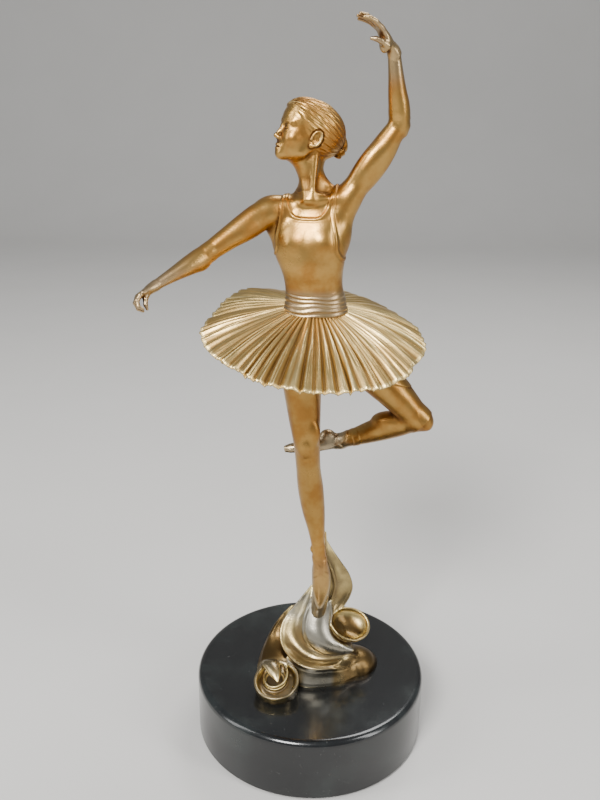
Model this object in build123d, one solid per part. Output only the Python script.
from build123d import *

import os
from math import cos, pi, radians, sin

# Bronze ballerina statuette on a round black marble plinth.
#
# The figure balances on the toe of one ballet shoe, on top of a breaking wave.
# It is a lost-wax bronze, cast in pieces that meet at flat joint faces on dowel
# pins, and bolted through the marble from below.
#
# Frame: millimetres, +Z up, origin at the centre of the underside of the felt.
# The dancer's chest faces -Y. The raised left arm and the bent left leg are on the
# +X side.

# ---------------------------------------------------------------- driving sizes
PLINTH_DIAMETER = 150.0
FELT_THICKNESS = 1.4
MARBLE_THICKNESS = 42.0
TUTU_DIAMETER = 132.0
HEAD_HEIGHT = 36.0  # chin to crown
STUD_DIAMETER = 8.0  # M8 threaded rod
STUD_DEPTH = 16.0  # of thread in the wave
PEG_DIAMETER = 4.0  # stops the wave turning on its stud
DOWEL_DIAMETER = 3.0
HIP_DOWEL_DIAMETER = 5.0
WAIST_STUD_DIAMETER = 6.0
PIN_CLEARANCE = 0.05  # radial, round every dowel and stud
COUNTERBORE_DEPTH = 15.0  # under the marble, for washer and nut
TUTU_COLLAR = 3.2  # thickness of the tutu where torso and hips clamp it

PLINTH_TOP = FELT_THICKNESS + MARBLE_THICKNESS
STUD_AT = Vector(8.0, -4.0, PLINTH_TOP)
PEG_AT = Vector(30.0, 0.0, PLINTH_TOP)

# -------------------------------------------------------------- figure skeleton
WAIST = Vector(-1.5, 1.5, 289.0)  # centre of the seam under the waistband
NECK_BASE = Vector(-3.8, 3.2, 354.0)
HEAD_CENTRE = Vector(-7.6, 4.8, 386.0)
HEAD_TURN = 68.0  # degrees, to the side of the lowered arm
HEAD_TILT = 15.0  # degrees, chin up

LEFT_SHOULDER = Vector(11.0, 2.0, 344.5)
LEFT_ELBOW = Vector(41.6, 3.0, 390.0)
LEFT_WRIST = Vector(36.0, -4.0, 426.0)
LEFT_KNUCKLES = Vector(28.8, -9.0, 437.0)

RIGHT_SHOULDER = Vector(-22.0, 3.0, 343.5)
RIGHT_ELBOW = Vector(-60.4, -16.0, 323.0)
RIGHT_WRIST = Vector(-88.2, -36.0, 307.6)
RIGHT_KNUCKLES = Vector(-94.6, -42.4, 304.0)

STANDING_HIP = Vector(-9.0, 1.0, 262.0)
RAISED_HIP = Vector(18.5, 1.0, 260.5)
RAISED_KNEE = Vector(61.5, -5.0, 223.6)
RAISED_ANKLE = Vector(16.0, 22.0, 197.4)
TOE_TIP = Vector(4.0, -1.0, 81.0)

# Directions across the joint faces, each pointing away from the torso.
# The tutu leans forward, and its axis is square to the waist seam.
TUTU_UP = Vector(0.03, -0.2, 1.0).normalized()
NECK_AXIS = Vector(-0.05, 0.1, 1.0).normalized()
LEFT_ARM_AXIS = Vector(0.75, 0.0, 0.66).normalized()
RIGHT_ARM_AXIS = Vector(-0.86, -0.2, -0.47).normalized()
STANDING_LEG_AXIS = Vector(0.05, 0.0, -1.0).normalized()
RAISED_THIGH_AXIS = (RAISED_KNEE - RAISED_HIP).normalized()
UP, DOWN = Vector(0, 0, 1), Vector(0, 0, -1)


# --------------------------------------------------------------------- helpers
def plane_along(origin, direction, across=(1, 0, 0)):
    """A plane whose normal is direction and whose X lies as near across as it can."""
    normal = Vector(direction).normalized()
    flat = Vector(across) - normal * Vector(across).dot(normal)
    return Plane(origin=origin, x_dir=flat, z_dir=normal)


def limb(stations, first=None, last=None, across=(1, 0, 0)):
    """A smooth solid through ellipses. A station is (x, y, z, half width, half depth).

    first and last are the directions of the two end faces, where they are joints.
    """
    centres = [Vector(*s[:3]) for s in stations]
    sections = []
    for i, (centre, station) in enumerate(zip(centres, stations)):
        ahead = centres[min(i + 1, len(centres) - 1)]
        behind = centres[max(i - 1, 0)]
        direction = ahead - behind
        if i == 0 and first is not None:
            direction = first
        if i == len(stations) - 1 and last is not None:
            direction = last
        where = plane_along(centre, direction, across)
        sections.append(where * Ellipse(station[3], station[4]))
    return loft(sections)


def egg(centre, radii, turn=Rot(0, 0, 0)):
    """An ellipsoid of the given half sizes, turned about its own centre."""
    return Pos(centre) * turn * scale(Sphere(1), by=radii)


def rod(start, end, radius):
    """A plain round rod between two points."""
    along = end - start
    return Plane(origin=start, z_dir=along) * Cylinder(
        radius, along.length, align=(Align.CENTER, Align.CENTER, Align.MIN)
    )


def dowel_pair(joint, direction, length, diameter):
    """A dowel across a joint face, and the bore that both castings get for it."""
    radius = diameter / 2
    half = direction * (length / 2)
    relief = direction * 0.2
    pin = rod(joint - half, joint + half, radius)
    bore = rod(joint - half - relief, joint + half + relief, radius + PIN_CLEARANCE)
    return pin, bore


def fingers(knuckles, along, across, palm_side, curl, length=9.0):
    """Four tapered fingers, spread a little, that bend towards palm_side."""
    made = []
    for i, (place, share) in enumerate(((-1.5, 0.85), (-0.5, 1.0), (0.5, 0.95), (1.5, 0.8))):
        root = knuckles + across * (place * 1.75)
        bend = curl * (0.75 + 0.2 * i)
        middle = root + (along + across * (0.12 * place)) * (length * share * 0.5)
        tip = middle + (along + palm_side * bend).normalized() * (length * share * 0.5)
        made.append(
            limb(
                [
                    (*(root - along * 1.5), 1.15, 1.25),
                    (*middle, 1.0, 1.05),
                    (*tip, 0.6, 0.65),
                ],
                across=across,
            )
        )
    return made


# ------------------------------------------------------------ plinth and fixing
def make_plinth():
    """The marble disc with its bores, and the felt under it."""
    radius, edge_radius, foot_chamfer = PLINTH_DIAMETER / 2, 4.0, 1.0
    marble = rod(UP * FELT_THICKNESS, UP * PLINTH_TOP, radius)
    marble = fillet(marble.edges().filter_by(GeomType.CIRCLE).sort_by(Axis.Z)[-1], edge_radius)
    marble = chamfer(marble.edges().filter_by(GeomType.CIRCLE).sort_by(Axis.Z)[0], foot_chamfer)
    axis_foot = Vector(STUD_AT.X, STUD_AT.Y, FELT_THICKNESS)
    marble -= rod(axis_foot, axis_foot + UP * COUNTERBORE_DEPTH, 14.0)
    marble -= rod(axis_foot, STUD_AT + UP, STUD_DIAMETER / 2 + 0.6)
    marble -= rod(PEG_AT - UP * 8.2, PEG_AT + UP, PEG_DIAMETER / 2 + PIN_CLEARANCE)
    felt = rod(Vector(0, 0, 0), UP * FELT_THICKNESS, radius - 2.5)
    return {"marble_plinth": marble, "felt_pad": felt}


def make_fixing():
    """Stud, washers and nut that clamp the bronze to the marble, and the steady peg."""
    washer_thickness, spring_thickness, nut_height, nut_across_flats = 1.6, 2.0, 6.5, 13.0
    thread_showing = 3.0
    centre_line = Pos(STUD_AT.X, STUD_AT.Y, 0)
    ceiling = FELT_THICKNESS + COUNTERBORE_DEPTH
    washer_foot = ceiling - washer_thickness
    spring_foot = washer_foot - spring_thickness
    nut_foot = spring_foot - nut_height
    loose_hole = rod(Vector(0, 0, 0), UP * 60, STUD_DIAMETER / 2 + 0.2)
    washer = rod(UP * washer_foot, UP * ceiling, 12.0) - loose_hole
    spring_washer = rod(UP * spring_foot, UP * washer_foot, 7.4) - loose_hole
    spring_washer -= Pos(6, 0, (spring_foot + washer_foot) / 2) * Box(6, 1.2, 3)
    hexagon = RegularPolygon(nut_across_flats / 2, 6, major_radius=False)
    nut = Pos(0, 0, nut_foot) * extrude(hexagon, nut_height)
    nut -= rod(Vector(0, 0, 0), UP * 60, STUD_DIAMETER / 2 + PIN_CLEARANCE)
    stud_foot = Vector(STUD_AT.X, STUD_AT.Y, nut_foot - thread_showing)
    stud = rod(stud_foot, STUD_AT + UP * STUD_DEPTH, STUD_DIAMETER / 2)
    stud = chamfer(stud.edges().filter_by(GeomType.CIRCLE), 0.8)
    return {
        "fixing_washer": centre_line * washer,
        "spring_washer": centre_line * spring_washer,
        "fixing_nut": centre_line * nut,
        "fixing_stud": stud,
        "steady_peg": rod(PEG_AT - UP * 8, PEG_AT + UP * 5, PEG_DIAMETER / 2),
    }


# ------------------------------------------------------------------------ wave
def blade(stations):
    """A curved blade. A station is (centre, across, facing, half width, thickness, hollow).

    Its section bows away from facing by hollow, so that the facing side is a trough.
    """
    sections = []
    for centre, across, facing, half, thick, hollow in stations:
        x_dir = Vector(*across).normalized()
        y_dir = Vector(*facing) - x_dir * Vector(*facing).dot(x_dir)
        where = Plane(origin=centre, x_dir=x_dir, z_dir=x_dir.cross(y_dir))
        rim = 0.35 * thick
        trough = ThreePointArc((-half, rim), (0, -hollow), (half, rim))
        back = ThreePointArc((half, -rim), (0, -hollow - thick), (-half, -rim))
        ends = [Line((half, rim), (half, -rim)), Line((-half, -rim), (-half, rim))]
        sections.append(where * make_face([trough, ends[0], back, ends[1]]))
    return loft(sections)


def make_mound():
    """The body of the wave: a spread foot on the marble and a column up to the toe."""
    shore = [(43, 2), (38, -14), (22, -24), (2, -26), (-22, -24), (-30, -6), (-22, 12), (0, 20)]
    shore.append((26, 18))
    footprint = make_face(Spline(*shore, periodic=True))
    shrunk = Pos(1.5, -0.5, 5.0) * scale(footprint, by=(0.86, 0.84, 1))
    foot = Pos(0, 0, PLINTH_TOP) * loft([footprint, shrunk])
    column = limb(
        [
            (8.0, -4.0, PLINTH_TOP + 2, 19.0, 15.0),
            (9.5, -5.0, 56.0, 17.5, 13.5),
            (9.0, -3.0, 66.0, 12.5, 9.5),
            (6.5, -1.0, 74.0, 8.6, 7.2),
            (*TOE_TIP, 5.2, 4.8),
        ],
        first=UP,
        last=UP,
    )
    return foot + column


def make_crest():
    """The crescent on the right: a trough that rises behind the toe to a point."""
    return blade(
        [
            ((1.5, 9.0, 97.0), (0.5, -0.2, 0.8), (0.8, -0.6, -0.4), 1.0, 1.2, 0.1),
            ((-4.5, 7.0, 88.0), (0.75, -0.2, 0.6), (0.5, -0.8, 0.1), 5.2, 2.0, 1.2),
            ((-9.0, 2.5, 76.0), (0.95, 0.0, 0.3), (0.2, -0.9, 0.4), 8.6, 2.6, 2.6),
            ((-9.5, -5.0, 64.5), (0.9, 0.35, -0.25), (0.3, -0.7, 0.65), 9.8, 3.0, 3.2),
            ((-2.0, -13.5, 57.5), (0.5, 0.75, -0.1), (0.1, -0.3, 0.95), 9.6, 3.0, 2.6),
            ((12.0, -17.5, 54.0), (0.1, 0.95, 0.1), (0.0, -0.2, 0.97), 8.4, 2.6, 1.6),
        ]
    )


def make_tongue():
    """The twisted tongue of water that rises behind the standing foot."""
    return blade(
        [
            ((13.0, 2.0, 72.0), (1, 0, 0.1), (0, -1, 0.3), 6.5, 3.0, 1.5),
            ((17.0, 6.0, 84.0), (0.97, 0, 0.25), (-0.2, -1, 0.1), 6.2, 2.8, 1.8),
            ((18.5, 10.0, 96.0), (1, 0, -0.1), (-0.2, -1, 0), 6.6, 2.6, 2.0),
            ((16.0, 12.0, 108.0), (0.93, 0, -0.35), (-0.3, -1, 0), 5.4, 2.4, 1.4),
            ((12.0, 12.5, 120.0), (0.95, 0, -0.3), (-0.3, -1, 0), 3.0, 2.0, 0.6),
            ((8.6, 12.0, 136.0), (0.95, 0, -0.3), (-0.3, -1, 0), 0.7, 1.0, 0.1),
        ]
    )


def make_cup():
    """The hollow curl of water on the left, on a short stalk."""
    where = Plane(origin=(25.0, 0.0, 64.5), z_dir=(0.12, -0.42, 0.9))
    reach, depth, wall, oval = 14.0, 8.5, 2.2, 0.86
    bowl = egg((0, 0, depth), (reach, reach * oval, depth))
    lip = reach - 1.4
    hollow = egg((0, 0, depth + wall / 2), (lip, lip * oval, depth - wall / 2))
    lid = Pos(0, 0, depth) * Box(60, 60, 40, align=(Align.CENTER, Align.CENTER, Align.MIN))
    stalk = limb(
        [(0, 0, -13.0, 8.5, 7.0), (0, 0, -4.0, 6.0, 5.0), (0, 0, 3.0, 7.0, 6.0)],
        first=UP,
        last=UP,
    )
    return where * (stalk + bowl - hollow - lid)


def make_scroll():
    """The end of the wave that rolls up on the marble, and the flank that feeds it."""
    radius, height, wall, floor = 14.3, 18.0, 2.2, 11.0
    where = plane_along((-21.1, -24.1, 36.6), (-0.05, -0.33, 0.94))
    ring = rod(Vector(0, 0, 0), UP * height, radius)
    ring = chamfer(ring.edges().filter_by(GeomType.CIRCLE).sort_by(Axis.Z)[-1], 0.8)
    ring -= rod(UP * floor, UP * (height + 1), radius - wall)
    turns = []
    for i in range(7):
        angle = radians(150 + 40 * i)
        reach = radius - wall - 1.0 - 1.35 * i
        turns.append((reach * cos(angle), reach * sin(angle)))
    curl = extrude(strip(Spline(*turns), 2.0), height - 2.0)
    flank = blade(
        [
            ((-12.5, 7.0, 80.0), (0.5, -0.3, 0.8), (-0.8, -0.5, 0.3), 3.0, 2.0, -0.4),
            ((-19.5, 6.5, 68.0), (0.75, -0.3, 0.6), (-0.7, -0.5, 0.5), 7.0, 2.6, -1.2),
            ((-24.5, 0.5, 57.5), (0.9, 0.1, 0.35), (-0.4, -0.5, 0.8), 8.5, 3.0, -1.6),
            ((-27.0, -9.0, 50.5), (0.95, 0.2, 0.1), (-0.1, -0.4, 0.9), 9.0, 4.0, -1.2),
            ((-25.0, -18.5, 47.0), (0.95, 0.2, 0.1), (-0.1, -0.4, 0.9), 9.0, 5.0, -1.2),
        ]
    )
    return where * (ring + curl) + flank


def strip(path, width):
    """A flat strip of even width along a plane curve."""
    left, right = [], []
    steps = 12
    for i in range(steps + 1):
        point, tangent = path @ (i / steps), path % (i / steps)
        side = Vector(-tangent.Y, tangent.X, 0) * (width / 2)
        left.append(point + side)
        right.append(point - side)
    ends = [Line(left[-1], right[-1]), Line(right[0], left[0])]
    return make_face([Spline(*left), ends[0], Spline(*right), ends[1]])


def make_wave(toe_bore):
    """The five castings of the wave, each trimmed to meet the ones before it."""
    above_marble = Pos(0, 0, PLINTH_TOP) * Box(
        200, 200, 200, align=(Align.CENTER, Align.CENTER, Align.MIN)
    )
    mound = make_mound() - toe_bore
    mound -= rod(PEG_AT - UP, PEG_AT + UP * 5.2, PEG_DIAMETER / 2 + PIN_CLEARANCE)
    mound -= rod(STUD_AT - UP, STUD_AT + UP * (STUD_DEPTH + 1), STUD_DIAMETER / 2 + PIN_CLEARANCE)
    cup = (make_cup() & above_marble) - mound
    crest = (make_crest() & above_marble) - mound - cup
    scroll = (make_scroll() & above_marble) - mound - crest
    tongue = make_tongue() - mound - cup - crest
    pieces = {
        "wave_mound": mound,
        "wave_crest": crest,
        "wave_tongue": tongue,
        "wave_cup": cup,
        "wave_scroll": scroll,
    }
    return {name: biggest(shape) for name, shape in pieces.items()}


def biggest(shape):
    """The largest solid of a shape, without the crumbs that a cut can leave."""
    return max(shape.solids(), key=lambda s: s.volume)


# ------------------------------------------------------------------------ tutu
def make_tutu(pleats=48):
    """A pleated cone: planar round the waist, ruled pleats out to a zigzag rim."""
    waist_half_width, waist_half_depth = 17.4, 12.4
    rim_radius, rim_drop = TUTU_DIAMETER / 2, 18.0
    pleat_height, notch, thickness = 2.0, 1.2, 1.8
    count = 2 * pleats

    def ring_points(level, at_rim):
        points = []
        for i in range(count):
            angle = 2 * pi * i / count
            fold = 1 if i % 2 == 0 else -1
            if at_rim:
                reach = rim_radius - (0 if fold > 0 else notch)
                points.append(
                    Vector(reach * cos(angle), reach * sin(angle), level + fold * pleat_height)
                )
            else:
                points.append(
                    Vector(waist_half_width * cos(angle), waist_half_depth * sin(angle), level)
                )
        return points

    top_in, bottom_in = ring_points(0, False), ring_points(-TUTU_COLLAR, False)
    top_out = ring_points(-rim_drop, True)
    bottom_out = [p - Vector(0, 0, thickness) for p in top_out]
    faces = [Face(Wire.make_polygon(top_in)), Face(Wire.make_polygon(bottom_in))]
    for i in range(count):
        j = (i + 1) % count
        for inner, outer in ((top_in, top_out), (bottom_in, bottom_out)):
            faces.append(
                Face.make_surface_from_curves(
                    Edge.make_line(inner[i], inner[j]), Edge.make_line(outer[i], outer[j])
                )
            )
        faces.append(
            Face(Wire.make_polygon([top_out[i], top_out[j], bottom_out[j], bottom_out[i]]))
        )
    tutu = Solid(Shell(faces))
    return plane_along(WAIST, TUTU_UP) * tutu


# ---------------------------------------------------------------------- figure
def make_torso():
    """The bodice, from the waist to the neck, with stubs at both shoulders."""
    chest = limb(
        [
            (-1.5, 1.5, 289.0, 17.4, 12.4),
            (-2.2, 1.2, 300.0, 16.3, 12.0),
            (-3.2, 0.8, 312.0, 17.3, 13.0),
            (-3.8, 0.6, 321.0, 19.0, 13.9),
            (-4.3, 1.4, 330.0, 20.3, 14.0),
            (-4.6, 2.6, 339.0, 20.4, 12.4),
            (-4.6, 3.4, 347.0, 16.5, 9.6),
            (*NECK_BASE, 7.6, 7.4),
        ],
        first=TUTU_UP,
        last=NECK_AXIS,
    )
    left = limb(
        [(-4.0, 2.6, 336.0, 10.5, 9.0), (5.0, 2.2, 341.5, 9.6, 8.0), (*LEFT_SHOULDER, 8.6, 7.0)],
        last=LEFT_ARM_AXIS,
        across=(1, 0, -0.6),
    )
    right = limb(
        [(-6.0, 2.6, 338.0, 9.5, 8.5), (-15.0, 2.8, 341.5, 8.4, 7.4), (*RIGHT_SHOULDER, 7.4, 6.6)],
        last=RIGHT_ARM_AXIS,
        across=(0, 0, 1),
    )
    return chest + left + right


def make_head():
    """Neck, skull, plain face, ears and the knot of hair behind."""
    unit = HEAD_HEIGHT
    neck = limb(
        [
            (*NECK_BASE, 7.6, 7.4),
            (-4.6, 3.8, 360.0, 6.5, 6.8),
            (-4.4, 4.6, 367.0, 6.2, 6.8),
            (-2.6, 5.6, 376.0, 6.6, 7.0),
        ],
        first=NECK_AXIS,
        last=NECK_AXIS,
    )
    skull = egg((0, 0.03 * unit, 0.08 * unit), (0.365 * unit, 0.44 * unit, 0.405 * unit))
    jaw = egg((0, -0.2 * unit, -0.14 * unit), (0.255 * unit, 0.235 * unit, 0.33 * unit))
    nose = egg((0, -0.43 * unit, -0.09 * unit), (0.045 * unit, 0.075 * unit, 0.1 * unit))
    knot = egg((0, 0.46 * unit, -0.06 * unit), (0.15 * unit, 0.1 * unit, 0.15 * unit))
    ears = [
        egg((side * 0.35 * unit, 0.03 * unit, -0.06 * unit), (0.04 * unit, 0.07 * unit, 0.11 * unit))
        for side in (-1, 1)
    ]
    head = skull + jaw + nose + knot + ears[0] + ears[1]
    head = Pos(HEAD_CENTRE) * Rot(0, 0, -HEAD_TURN) * Rot(-HEAD_TILT, 0, 0) * head
    return neck + head


def make_left_arm():
    """The raised arm, a long arc from the shoulder to the finger tips."""
    arm = limb(
        [
            (*LEFT_SHOULDER, 8.6, 7.0),
            (19.5, 2.4, 354.0, 6.9, 6.2),
            (30.0, 2.8, 371.0, 6.0, 5.6),
            (37.8, 3.0, 384.0, 5.6, 5.2),
            (*(LEFT_ELBOW + Vector(0.4, 0, 3)), 5.2, 5.0),
            (39.4, 0.6, 407.0, 4.3, 4.3),
            (*LEFT_WRIST, 3.2, 2.6),
        ],
        first=LEFT_ARM_AXIS,
    )
    palm = limb(
        [
            (*(LEFT_WRIST - Vector(-0.6, -0.4, 2.0)), 3.1, 2.6),
            (*(LEFT_WRIST + (LEFT_KNUCKLES - LEFT_WRIST) * 0.45), 2.1, 3.6),
            (*LEFT_KNUCKLES, 1.7, 3.8),
        ]
    )
    hand = fingers(
        LEFT_KNUCKLES,
        along=Vector(-0.85, -0.3, 0.45).normalized(),
        across=Vector(0.25, -0.95, 0.1).normalized(),
        palm_side=Vector(-0.4, 0, -0.9),
        curl=0.7,
        length=14.0,
    )
    thumb = limb(
        [(32.0, -8.5, 430.5, 1.4, 1.4), (26.5, -11.0, 430.5, 1.1, 1.1), (21.5, -12.0, 429.0, 0.7, 0.7)],
        across=(0, 0, 1),
    )
    for digit in hand + [thumb]:
        palm += digit
    return arm + palm


def make_right_arm():
    """The lowered arm, reaching out and a little forward, with a soft hand."""
    arm = limb(
        [
            (*RIGHT_SHOULDER, 7.4, 6.6),
            (-31.0, -0.6, 338.5, 5.8, 5.6),
            (-46.0, -8.5, 330.0, 5.4, 5.2),
            (*RIGHT_ELBOW, 5.0, 4.9),
            (-69.0, -22.5, 316.5, 4.8, 4.6),
            (-80.0, -31.0, 310.2, 3.6, 3.5),
            (*RIGHT_WRIST, 2.7, 3.0),
        ],
        first=RIGHT_ARM_AXIS,
        across=(0, 0, 1),
    )
    palm = limb(
        [
            (*(RIGHT_WRIST + Vector(1.6, 1.2, 0.9)), 2.6, 2.9),
            (*(RIGHT_WRIST + (RIGHT_KNUCKLES - RIGHT_WRIST) * 0.5), 2.0, 3.6),
            (*RIGHT_KNUCKLES, 1.7, 3.8),
        ],
        across=(0, 0, 1),
    )
    hand = fingers(
        RIGHT_KNUCKLES,
        along=Vector(-0.35, -0.45, -0.8).normalized(),
        across=Vector(-0.3, 0.9, -0.35).normalized(),
        palm_side=Vector(0.8, 0.1, -0.5),
        curl=0.6,
        length=10.0,
    )
    thumb = limb(
        [(-89.0, -40.5, 302.5, 1.3, 1.3), (-86.5, -44.5, 299.5, 1.1, 1.1), (-86.0, -47.0, 296.0, 0.7, 0.7)],
    )
    for digit in hand + [thumb]:
        palm += digit
    return arm + palm


def make_pelvis():
    """Hips and briefs under the tutu, with a stub for each leg."""
    top = WAIST - TUTU_UP * TUTU_COLLAR
    hips = limb(
        [
            (*top, 17.4, 12.4),
            (-1.0, 1.8, 277.0, 19.5, 14.0),
            (0.0, 2.0, 268.0, 20.0, 14.5),
            (-0.5, 1.5, 258.0, 13.5, 11.0),
            (-0.5, 1.0, 252.0, 5.0, 5.0),
        ],
        first=TUTU_UP * -1,
        last=DOWN,
    )
    standing = limb(
        [(-8.0, 1.8, 275.0, 12.0, 13.0), (*STANDING_HIP, 12.4, 13.2)], last=STANDING_LEG_AXIS
    )
    raised = limb(
        [(6.0, 2.0, 272.0, 12.5, 12.5), (*RAISED_HIP, 12.8, 12.8)],
        last=RAISED_THIGH_AXIS,
        across=(0, 1, 0),
    )
    return hips + standing + raised


def make_standing_leg():
    """The leg that carries the figure, from the hip to the boxed toe of the shoe."""
    leg = limb(
        [
            (*STANDING_HIP, 12.4, 13.2),
            (-8.2, 0.0, 240.0, 11.0, 12.0),
            (-6.6, -1.6, 221.0, 9.5, 10.4),
            (-4.9, -3.4, 204.0, 8.0, 8.8),
            (-3.9, -1.2, 190.0, 7.2, 7.8),
            (-2.3, 2.2, 174.0, 7.5, 8.4),
            (-0.2, 3.0, 158.0, 6.7, 7.4),
            (2.1, 1.8, 143.0, 4.9, 5.3),
            (3.2, 0.8, 131.0, 3.9, 4.5),
            (4.6, -1.0, 118.0, 4.7, 5.4),
            (5.0, -1.4, 102.0, 4.9, 4.8),
            (4.6, -1.2, 90.0, 3.7, 3.7),
            (*TOE_TIP, 2.7, 2.8),
        ],
        first=STANDING_LEG_AXIS,
        last=DOWN,
    )
    heel = egg((4.0, 4.4, 123.5), (3.2, 3.4, 4.6))
    return leg + heel


def make_raised_leg():
    """The bent leg, its thigh out to the side and its foot behind the other knee."""
    thigh = limb(
        [
            (*RAISED_HIP, 12.8, 12.8),
            (33.0, -0.6, 248.0, 12.0, 12.0),
            (47.0, -2.8, 235.6, 10.4, 10.4),
            (57.0, -4.4, 226.6, 8.8, 8.8),
            (*RAISED_KNEE, 7.6, 7.6),
        ],
        first=RAISED_THIGH_AXIS,
        last=RAISED_THIGH_AXIS,
        across=(0, 1, 0),
    )
    knee = egg(RAISED_KNEE, (8.3, 8.0, 8.3))
    calf = limb(
        [
            (*(RAISED_KNEE + Vector(-1, 1, -0.8)), 7.0, 7.0),
            (49.0, 2.5, 216.6, 7.8, 7.8),
            (36.0, 10.0, 209.0, 7.2, 7.2),
            (24.5, 17.0, 201.0, 5.4, 5.4),
            (*RAISED_ANKLE, 4.3, 4.3),
        ],
        across=UP,
    )
    foot = limb(
        [
            (20.0, 20.0, 198.5, 4.5, 4.5),
            (12.0, 22.8, 196.0, 4.4, 4.6),
            (3.0, 22.6, 194.8, 4.8, 4.5),
            (-7.0, 20.6, 193.4, 4.2, 4.0),
            (-14.5, 19.0, 192.4, 3.2, 3.1),
            (-20.0, 17.6, 191.6, 2.0, 2.0),
        ],
        across=UP,
    )
    heel = egg((9.6, 24.5, 199.4), (4.4, 3.6, 4.0))
    return thigh + knee + calf + foot + heel


def make_figure(toe_bore):
    """The cast pieces of the figure and the pins between them."""
    pins, bores = {}, {}
    for name, place, direction, length, diameter in (
        ("waist_stud", WAIST - TUTU_UP * TUTU_COLLAR / 2, TUTU_UP, 24.0, WAIST_STUD_DIAMETER),
        ("neck_dowel", NECK_BASE, NECK_AXIS, 14.0, DOWEL_DIAMETER),
        ("raised_arm_dowel", LEFT_SHOULDER, LEFT_ARM_AXIS, 14.0, DOWEL_DIAMETER),
        ("lowered_arm_dowel", RIGHT_SHOULDER, RIGHT_ARM_AXIS, 14.0, DOWEL_DIAMETER),
        ("standing_leg_dowel", STANDING_HIP, STANDING_LEG_AXIS, 18.0, HIP_DOWEL_DIAMETER),
        ("raised_leg_dowel", RAISED_HIP, RAISED_THIGH_AXIS, 18.0, HIP_DOWEL_DIAMETER),
    ):
        pins[name], bores[name] = dowel_pair(place, direction, length, diameter)

    def bored(shape, *pin_names):
        for name in pin_names:
            shape -= bores[name]
        return biggest(shape)

    torso, pelvis = make_torso(), make_pelvis()
    standing_leg = make_standing_leg() - pelvis - toe_bore
    raised_leg = make_raised_leg() - pelvis - standing_leg
    castings = {
        "torso": bored(
            torso, "waist_stud", "neck_dowel", "raised_arm_dowel", "lowered_arm_dowel"
        ),
        "tutu": bored(make_tutu(), "waist_stud"),
        "pelvis": bored(pelvis, "waist_stud", "standing_leg_dowel", "raised_leg_dowel"),
        "standing_leg": bored(standing_leg, "standing_leg_dowel"),
        "raised_leg": bored(raised_leg, "raised_leg_dowel"),
        "head_and_neck": bored(make_head() - torso, "neck_dowel"),
        "raised_arm": bored(make_left_arm() - torso, "raised_arm_dowel"),
        "lowered_arm": bored(make_right_arm() - torso, "lowered_arm_dowel"),
    }
    return castings | pins


def main():
    toe_pin, toe_bore = dowel_pair(TOE_TIP, UP, 22.0, DOWEL_DIAMETER)
    nodes = make_plinth() | make_fixing() | make_wave(toe_bore) | make_figure(toe_bore)
    nodes["toe_pin"] = toe_pin
    os.makedirs("parts", exist_ok=True)
    for name, shape in nodes.items():
        export_step(shape, f"parts/{name}.step")


main()
